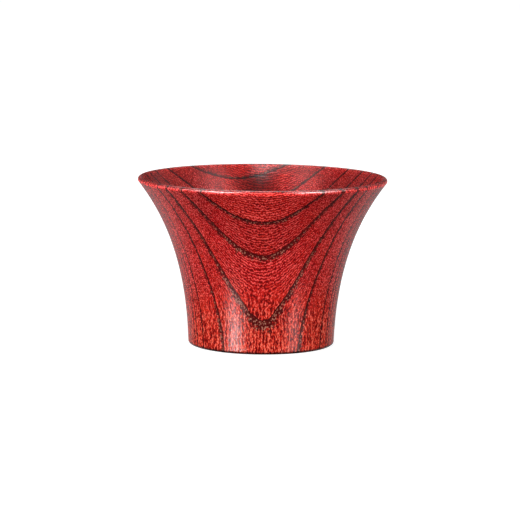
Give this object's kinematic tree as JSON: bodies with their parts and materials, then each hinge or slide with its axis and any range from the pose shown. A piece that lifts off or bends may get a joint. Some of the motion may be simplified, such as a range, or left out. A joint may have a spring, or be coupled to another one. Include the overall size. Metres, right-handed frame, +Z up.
{
  "type": "sake cup",
  "caption": "Flared wooden sake cup in wiped red lacquer, with a thin rounded lip, a round-bottomed bowl and a shallow recess under its foot.",
  "frame": {"origin": "middle of the face that the cup stands on", "axes": "+Z up along the axis that the cup is turned about, +X to the picture's right, -Y towards the viewer"},
  "size_m": [0.075, 0.075, 0.0505],
  "materials": {
    "lacquered_wood": "red wiped lacquer over dark-grained zelkova, satin gloss"
  },
  "bodies": {
    "root": {"cup": "lacquered_wood"}
  },
  "joints": []
}
